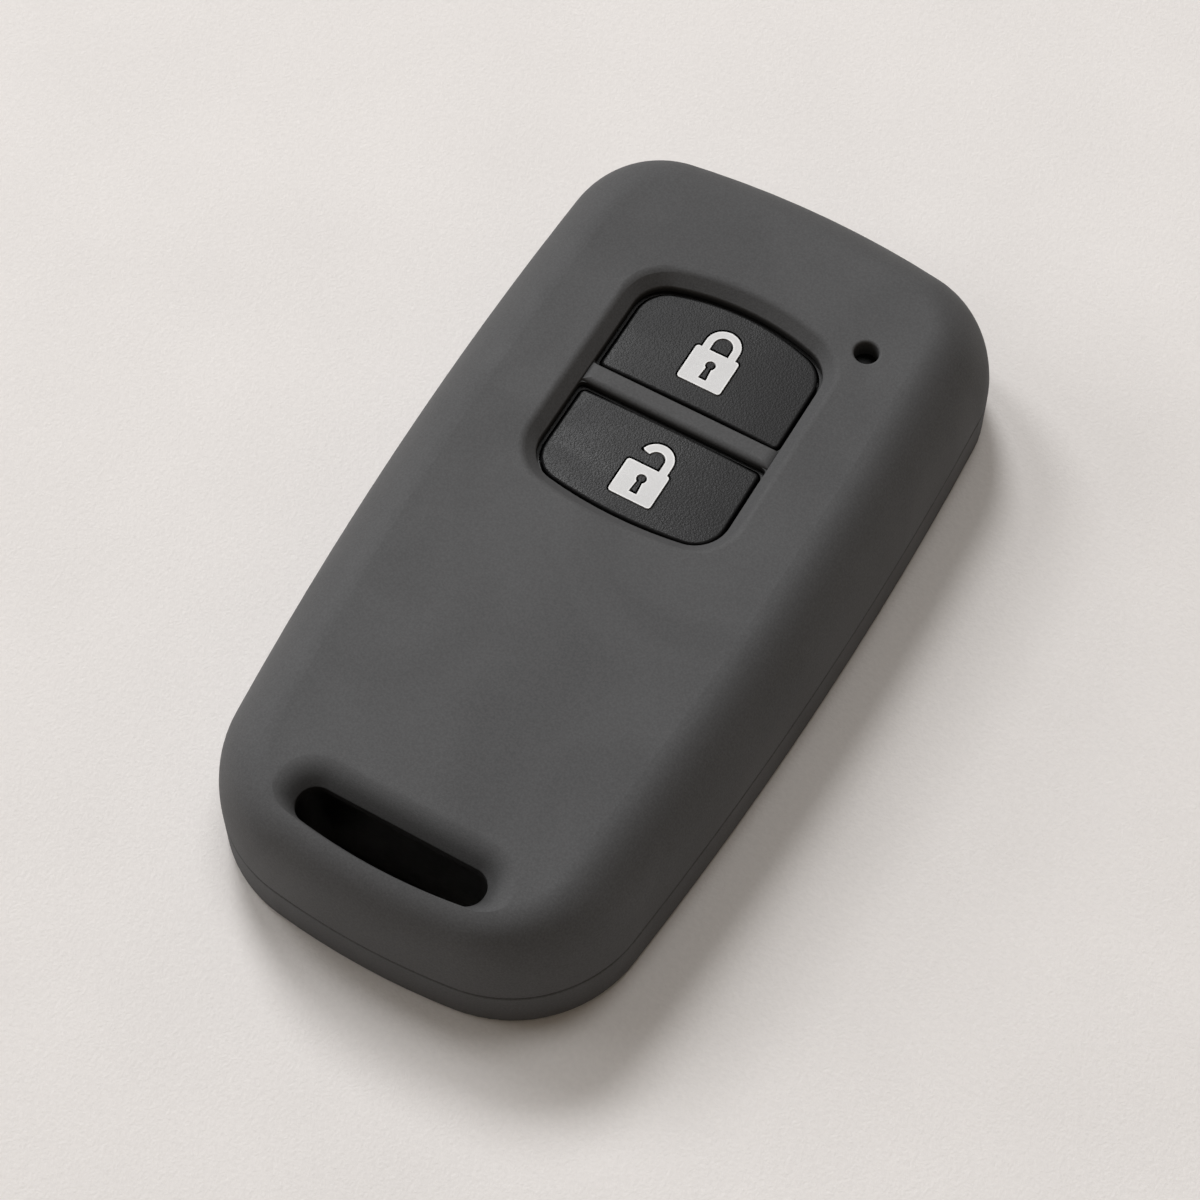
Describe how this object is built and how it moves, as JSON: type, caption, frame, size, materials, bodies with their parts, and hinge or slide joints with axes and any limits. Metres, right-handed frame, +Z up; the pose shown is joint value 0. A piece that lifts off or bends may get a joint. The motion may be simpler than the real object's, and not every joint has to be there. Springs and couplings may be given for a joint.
{
  "type": "key fob cover",
  "caption": "Two-part soft-touch cover closed round a remote key fob, with a window for its push buttons, a lamp hole and a strap slot.",
  "frame": {"origin": "centre of the flat underside of the rear cover", "axes": "+X across the cover, +Y along it towards the buttons' end, +Z up from the underside to the buttons"},
  "size_m": [0.0406, 0.076, 0.0135],
  "materials": {
    "cover_elastomer": "soft-touch matt, fine mottled grain, dark grey",
    "fob_plastic": "black moulded plastic",
    "seal_rubber": "black rubber",
    "button_plastic": "charcoal, fine leather-like grain",
    "switch_plastic": "black moulded body",
    "plunger_plastic": "off-white",
    "board_laminate": "green solder mask",
    "cell_steel": "nickel-plated steel",
    "contact_steel": "tinned spring steel",
    "chip_plastic": "black epoxy",
    "can_steel": "metal can",
    "ferrite": "dark ferrite",
    "winding_copper": "enamelled copper wire",
    "lamp_plastic": "moulded lens",
    "smoked_plastic": "dark smoked clear plastic"
  },
  "bodies": {
    "rear_cover": {"rear_cover": "cover_elastomer"},
    "fob": {"fob_upper_housing": "fob_plastic", "fob_lower_housing": "fob_plastic", "housing_seal": "seal_rubber", "lock_switch_body": "switch_plastic", "unlock_switch_body": "switch_plastic", "circuit_board": "board_laminate", "coin_cell": "cell_steel", "positive_contact": "contact_steel", "negative_contact": "contact_steel", "controller_chip": "chip_plastic", "crystal": "can_steel", "antenna_core": "ferrite", "antenna_winding": "winding_copper", "indicator_lamp": "lamp_plastic", "light_pipe": "smoked_plastic"},
    "front_cover": {"front_cover": "cover_elastomer"},
    "lock_button": {"lock_button": "button_plastic"},
    "unlock_button": {"unlock_button": "button_plastic"},
    "lock_plunger": {"lock_switch_plunger": "plunger_plastic"},
    "unlock_plunger": {"unlock_switch_plunger": "plunger_plastic"}
  },
  "joints": [
    {"name": "fob_lift", "type": "slide", "parent": "rear_cover", "child": "fob", "axis": [0, 0, 1], "range_m": [0, 0.015]},
    {"name": "front_cover_lift", "type": "slide", "parent": "fob", "child": "front_cover", "axis": [0, 0, 1], "range_m": [0, 0.015]},
    {"name": "lock_press", "type": "slide", "parent": "fob", "child": "lock_button", "axis": [0, 0, -1], "range_m": [0, 0.0003], "stiffness_N_per_m": 1500, "springref_m": -0.0003},
    {"name": "unlock_press", "type": "slide", "parent": "fob", "child": "unlock_button", "axis": [0, 0, -1], "range_m": [0, 0.0003], "stiffness_N_per_m": 1500, "springref_m": -0.0003},
    {"name": "lock_plunger_press", "type": "slide", "parent": "fob", "child": "lock_plunger", "axis": [0, 0, -1], "range_m": [0, 0.0003]},
    {"name": "unlock_plunger_press", "type": "slide", "parent": "fob", "child": "unlock_plunger", "axis": [0, 0, -1], "range_m": [0, 0.0003]}
  ],
  "couplings": [
    {"joint": "lock_plunger_press", "follows": "lock_press", "ratio": 1},
    {"joint": "unlock_plunger_press", "follows": "unlock_press", "ratio": 1}
  ]
}
